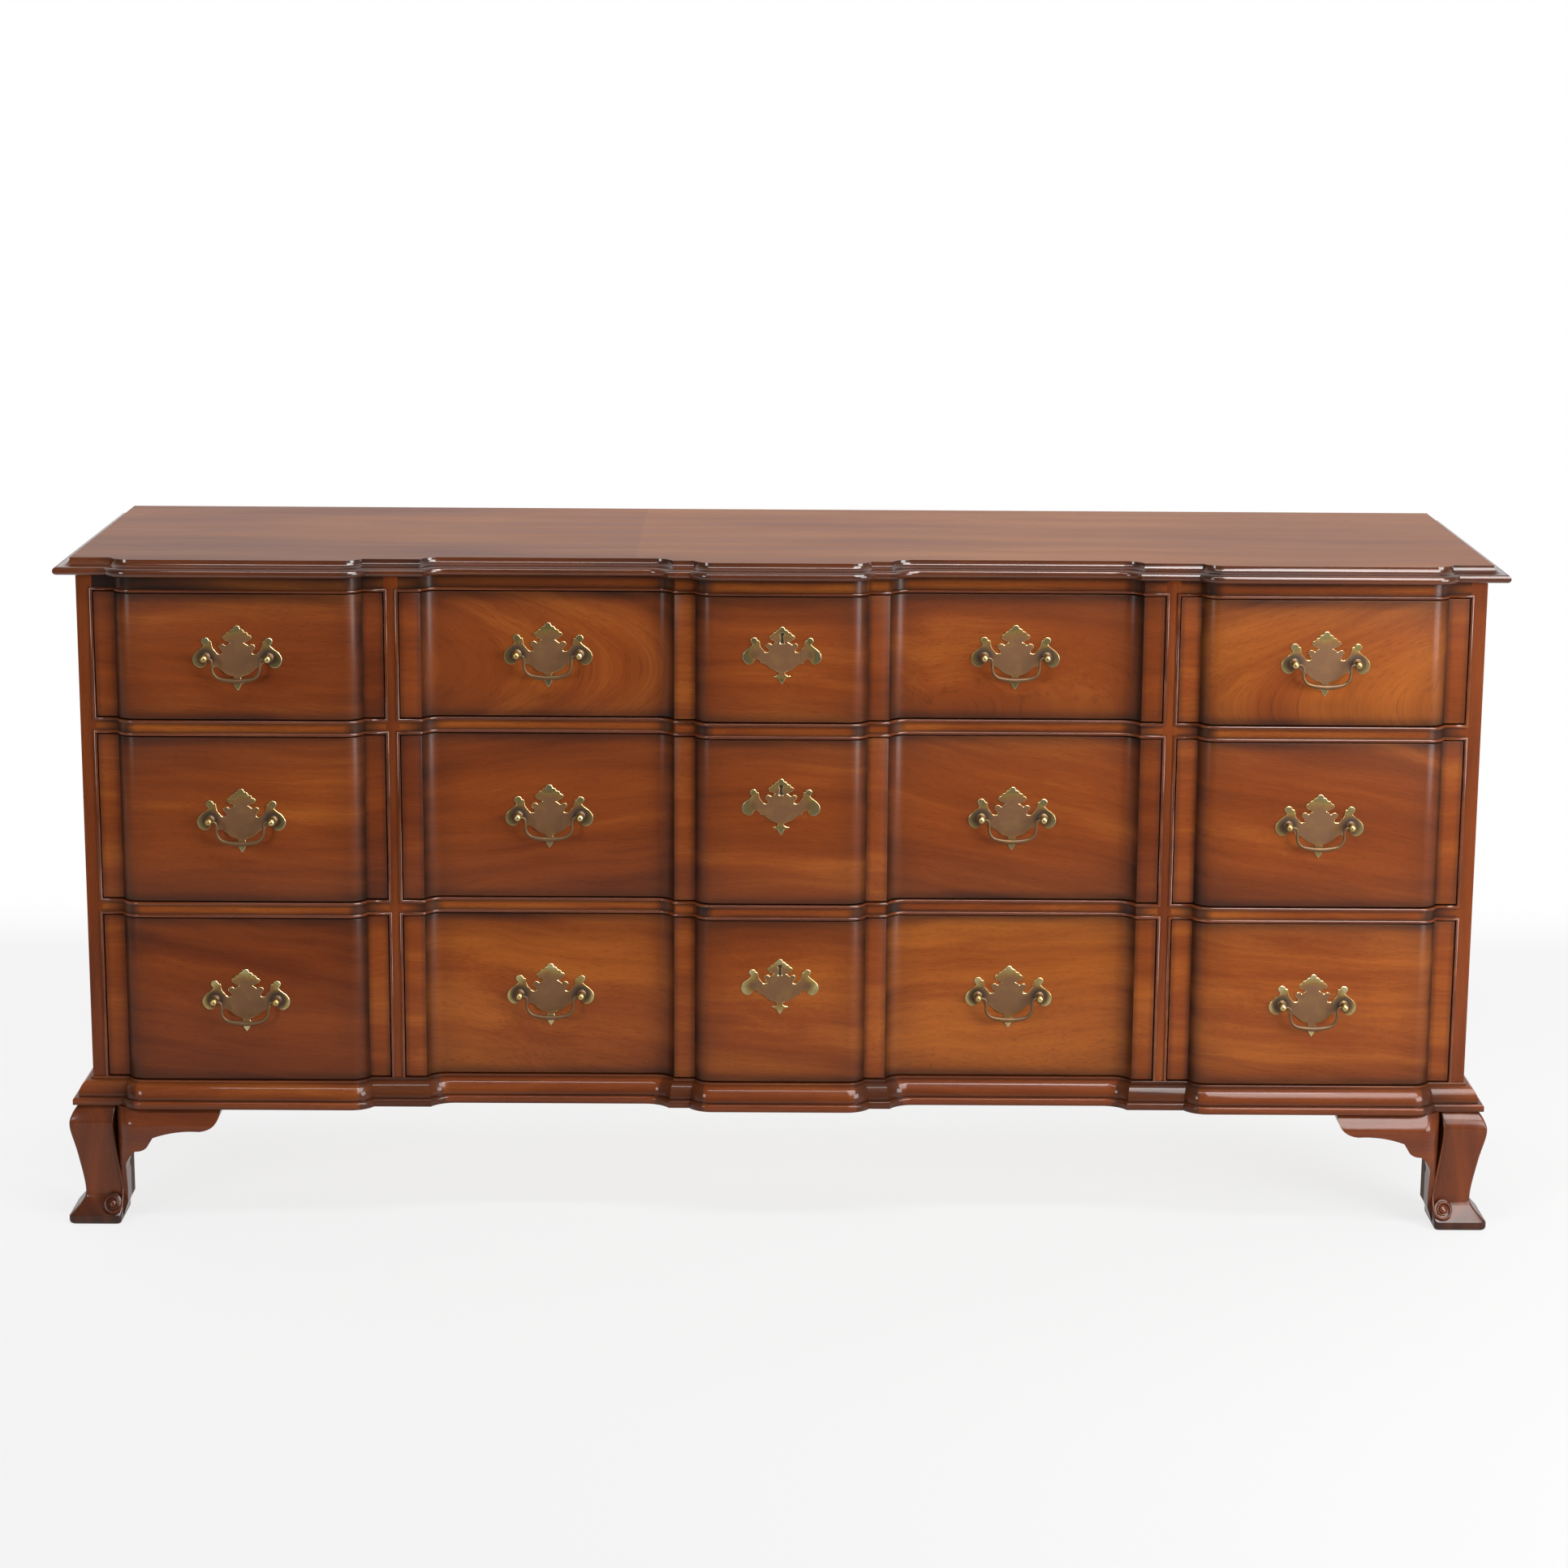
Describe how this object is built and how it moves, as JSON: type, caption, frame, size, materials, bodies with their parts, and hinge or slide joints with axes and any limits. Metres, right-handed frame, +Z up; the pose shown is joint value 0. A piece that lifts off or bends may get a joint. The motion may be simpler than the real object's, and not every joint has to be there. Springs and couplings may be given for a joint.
{
  "type": "block-front chest of drawers",
  "caption": "Long low block-front chest of drawers with a moulded top, ogee bracket feet, sliding drawers and swinging brass bail pulls on bat-wing plates.",
  "frame": {"origin": "on the floor under the middle of the outer box", "axes": "+X to the right seen from the front, +Y to the back, +Z up"},
  "size_m": [1.895, 0.525, 0.8965],
  "materials": {
    "mahogany": "satin lacquer over red-brown stain",
    "secondary_wood": "bare planed wood",
    "brass": "antiqued, rims rubbed bright"
  },
  "bodies": {
    "case": {"back_panel": "secondary_wood", "base_moulding": "mahogany", "bottom_board": "secondary_wood", "cock_beads": "mahogany", "drawer_guides": "secondary_wood", "dust_panels": "secondary_wood", "front_foot_left": "mahogany", "front_foot_right": "mahogany", "glue_blocks": "secondary_wood", "inner_stiles": "mahogany", "outer_stile_left": "mahogany", "outer_stile_right": "mahogany", "partitions": "secondary_wood", "rails_centre": "mahogany", "rails_left": "mahogany", "rails_right": "mahogany", "rear_foot_left": "mahogany", "rear_foot_right": "mahogany", "side_left": "mahogany", "side_right": "mahogany", "top": "mahogany"},
    "drawer_left_lower": {"drawer_front_left_lower": "mahogany", "drawer_box_left_lower": "secondary_wood", "brasses_left_lower": "brass"},
    "bail_left_lower": {"bail_left_lower": "brass"},
    "drawer_left_middle": {"drawer_front_left_middle": "mahogany", "drawer_box_left_middle": "secondary_wood", "brasses_left_middle": "brass"},
    "bail_left_middle": {"bail_left_middle": "brass"},
    "drawer_left_upper": {"drawer_front_left_upper": "mahogany", "drawer_box_left_upper": "secondary_wood", "brasses_left_upper": "brass"},
    "bail_left_upper": {"bail_left_upper": "brass"},
    "drawer_centre_lower": {"drawer_front_centre_lower": "mahogany", "drawer_box_centre_lower": "secondary_wood", "brasses_centre_lower": "brass"},
    "bail_centre_left_lower": {"bail_centre_left_lower": "brass"},
    "bail_centre_right_lower": {"bail_centre_right_lower": "brass"},
    "drawer_centre_middle": {"drawer_front_centre_middle": "mahogany", "drawer_box_centre_middle": "secondary_wood", "brasses_centre_middle": "brass"},
    "bail_centre_left_middle": {"bail_centre_left_middle": "brass"},
    "bail_centre_right_middle": {"bail_centre_right_middle": "brass"},
    "drawer_centre_upper": {"drawer_front_centre_upper": "mahogany", "drawer_box_centre_upper": "secondary_wood", "brasses_centre_upper": "brass"},
    "bail_centre_left_upper": {"bail_centre_left_upper": "brass"},
    "bail_centre_right_upper": {"bail_centre_right_upper": "brass"},
    "drawer_right_lower": {"drawer_front_right_lower": "mahogany", "drawer_box_right_lower": "secondary_wood", "brasses_right_lower": "brass"},
    "bail_right_lower": {"bail_right_lower": "brass"},
    "drawer_right_middle": {"drawer_front_right_middle": "mahogany", "drawer_box_right_middle": "secondary_wood", "brasses_right_middle": "brass"},
    "bail_right_middle": {"bail_right_middle": "brass"},
    "drawer_right_upper": {"drawer_front_right_upper": "mahogany", "drawer_box_right_upper": "secondary_wood", "brasses_right_upper": "brass"},
    "bail_right_upper": {"bail_right_upper": "brass"}
  },
  "joints": [
    {"name": "slide_left_lower", "type": "slide", "parent": "case", "child": "drawer_left_lower", "axis": [0, -1, 0], "range_m": [0, 0.32]},
    {"name": "swing_left_lower", "type": "hinge", "parent": "drawer_left_lower", "child": "bail_left_lower", "pos_m": [-0.70525, -0.2491, 0.3095], "axis": [-1, 0, 0], "range_deg": [-15, 180]},
    {"name": "slide_left_middle", "type": "slide", "parent": "case", "child": "drawer_left_middle", "axis": [0, -1, 0], "range_m": [0, 0.32]},
    {"name": "swing_left_middle", "type": "hinge", "parent": "drawer_left_middle", "child": "bail_left_middle", "pos_m": [-0.70525, -0.2491, 0.553], "axis": [-1, 0, 0], "range_deg": [-15, 180]},
    {"name": "slide_left_upper", "type": "slide", "parent": "case", "child": "drawer_left_upper", "axis": [0, -1, 0], "range_m": [0, 0.32]},
    {"name": "swing_left_upper", "type": "hinge", "parent": "drawer_left_upper", "child": "bail_left_upper", "pos_m": [-0.70525, -0.2491, 0.769], "axis": [-1, 0, 0], "range_deg": [-15, 180]},
    {"name": "slide_centre_lower", "type": "slide", "parent": "case", "child": "drawer_centre_lower", "axis": [0, -1, 0], "range_m": [0, 0.32]},
    {"name": "swing_centre_left_lower", "type": "hinge", "parent": "drawer_centre_lower", "child": "bail_centre_left_lower", "pos_m": [-0.305, -0.2131, 0.3095], "axis": [-1, 0, 0], "range_deg": [-15, 180]},
    {"name": "swing_centre_right_lower", "type": "hinge", "parent": "drawer_centre_lower", "child": "bail_centre_right_lower", "pos_m": [0.305, -0.2131, 0.3095], "axis": [-1, 0, 0], "range_deg": [-15, 180]},
    {"name": "slide_centre_middle", "type": "slide", "parent": "case", "child": "drawer_centre_middle", "axis": [0, -1, 0], "range_m": [0, 0.32]},
    {"name": "swing_centre_left_middle", "type": "hinge", "parent": "drawer_centre_middle", "child": "bail_centre_left_middle", "pos_m": [-0.305, -0.2131, 0.553], "axis": [-1, 0, 0], "range_deg": [-15, 180]},
    {"name": "swing_centre_right_middle", "type": "hinge", "parent": "drawer_centre_middle", "child": "bail_centre_right_middle", "pos_m": [0.305, -0.2131, 0.553], "axis": [-1, 0, 0], "range_deg": [-15, 180]},
    {"name": "slide_centre_upper", "type": "slide", "parent": "case", "child": "drawer_centre_upper", "axis": [0, -1, 0], "range_m": [0, 0.32]},
    {"name": "swing_centre_left_upper", "type": "hinge", "parent": "drawer_centre_upper", "child": "bail_centre_left_upper", "pos_m": [-0.305, -0.2131, 0.769], "axis": [-1, 0, 0], "range_deg": [-15, 180]},
    {"name": "swing_centre_right_upper", "type": "hinge", "parent": "drawer_centre_upper", "child": "bail_centre_right_upper", "pos_m": [0.305, -0.2131, 0.769], "axis": [-1, 0, 0], "range_deg": [-15, 180]},
    {"name": "slide_right_lower", "type": "slide", "parent": "case", "child": "drawer_right_lower", "axis": [0, -1, 0], "range_m": [0, 0.32]},
    {"name": "swing_right_lower", "type": "hinge", "parent": "drawer_right_lower", "child": "bail_right_lower", "pos_m": [0.70525, -0.2491, 0.3095], "axis": [-1, 0, 0], "range_deg": [-15, 180]},
    {"name": "slide_right_middle", "type": "slide", "parent": "case", "child": "drawer_right_middle", "axis": [0, -1, 0], "range_m": [0, 0.32]},
    {"name": "swing_right_middle", "type": "hinge", "parent": "drawer_right_middle", "child": "bail_right_middle", "pos_m": [0.70525, -0.2491, 0.553], "axis": [-1, 0, 0], "range_deg": [-15, 180]},
    {"name": "slide_right_upper", "type": "slide", "parent": "case", "child": "drawer_right_upper", "axis": [0, -1, 0], "range_m": [0, 0.32]},
    {"name": "swing_right_upper", "type": "hinge", "parent": "drawer_right_upper", "child": "bail_right_upper", "pos_m": [0.70525, -0.2491, 0.769], "axis": [-1, 0, 0], "range_deg": [-15, 180]}
  ]
}
